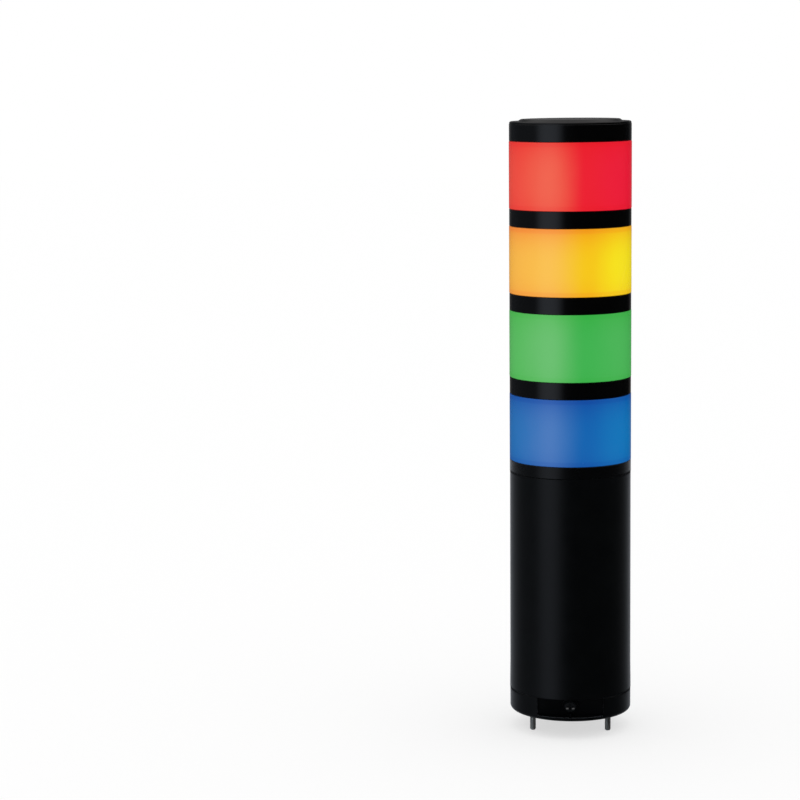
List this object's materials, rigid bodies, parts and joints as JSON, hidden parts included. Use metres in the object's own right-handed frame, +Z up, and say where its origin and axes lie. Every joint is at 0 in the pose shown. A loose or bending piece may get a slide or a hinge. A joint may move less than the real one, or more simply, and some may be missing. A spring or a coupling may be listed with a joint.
{
  "type": "stack light",
  "caption": "Tall round machine signal tower with stacked twist-lock LED light units in red, amber, green and blue on a black cylindrical body, direct mounted by studs.",
  "frame": {"origin": "centre of the mounting face under the base, where it meets the surface that it is bolted to; it is also the centre of the stud circle", "axes": "+Z up along the light's axis, -Y towards the front recess with the lock screw"},
  "size_m": [0.0604, 0.0604, 0.3031],
  "materials": {
    "black_housing": "satin",
    "red_lens": "milky translucent",
    "amber_lens": "milky translucent",
    "green_lens": "milky translucent",
    "blue_lens": "milky translucent",
    "white_plastic": "frosted",
    "circuit_board": "solder mask",
    "led_package": "clear resin",
    "contact_brass": "plated",
    "steel": "zinc plated",
    "seal_rubber": "matt",
    "terminal_plastic": "moulded",
    "capacitor_can": "sleeved can",
    "chip_plastic": "moulded"
  },
  "bodies": {
    "body": {"base": "black_housing", "base_seal": "seal_rubber", "mounting_studs": "steel", "lock_screw": "steel", "body_tube": "black_housing", "collar": "black_housing", "body_contact_board": "circuit_board", "control_board": "circuit_board", "terminal_block": "terminal_plastic", "terminal_screws": "steel", "capacitors": "capacitor_can", "driver_chips": "chip_plastic"},
    "blue_unit": {"blue_lens": "blue_lens", "blue_diffuser": "white_plastic", "blue_carrier": "white_plastic", "blue_led_board": "circuit_board", "blue_leds": "led_package", "blue_contacts": "contact_brass", "blue_ring": "black_housing", "blue_contact_board": "circuit_board", "blue_seal": "seal_rubber"},
    "green_unit": {"green_lens": "green_lens", "green_diffuser": "white_plastic", "green_carrier": "white_plastic", "green_led_board": "circuit_board", "green_leds": "led_package", "green_contacts": "contact_brass", "green_ring": "black_housing", "green_contact_board": "circuit_board", "green_seal": "seal_rubber"},
    "amber_unit": {"amber_lens": "amber_lens", "amber_diffuser": "white_plastic", "amber_carrier": "white_plastic", "amber_led_board": "circuit_board", "amber_leds": "led_package", "amber_contacts": "contact_brass", "amber_ring": "black_housing", "amber_contact_board": "circuit_board", "amber_seal": "seal_rubber"},
    "red_unit": {"red_lens": "red_lens", "red_diffuser": "white_plastic", "red_carrier": "white_plastic", "red_led_board": "circuit_board", "red_leds": "led_package", "red_contacts": "contact_brass", "red_ring": "black_housing", "red_contact_board": "circuit_board", "red_seal": "seal_rubber"},
    "head": {"head_cap": "black_housing", "cap_seal": "seal_rubber"}
  },
  "joints": [
    {"name": "blue_twist", "type": "hinge", "parent": "body", "child": "blue_unit", "pos_m": [0, 0, 0.1268], "axis": [0, 0, 1], "range_deg": [0, 20]},
    {"name": "green_twist", "type": "hinge", "parent": "blue_unit", "child": "green_unit", "pos_m": [0, 0, 0.1681], "axis": [0, 0, 1], "range_deg": [0, 20]},
    {"name": "amber_twist", "type": "hinge", "parent": "green_unit", "child": "amber_unit", "pos_m": [0, 0, 0.2094], "axis": [0, 0, 1], "range_deg": [0, 20]},
    {"name": "red_twist", "type": "hinge", "parent": "amber_unit", "child": "red_unit", "pos_m": [0, 0, 0.2507], "axis": [0, 0, 1], "range_deg": [0, 20]},
    {"name": "head_twist", "type": "hinge", "parent": "red_unit", "child": "head", "pos_m": [0, 0, 0.292], "axis": [0, 0, 1], "range_deg": [0, 20]}
  ]
}
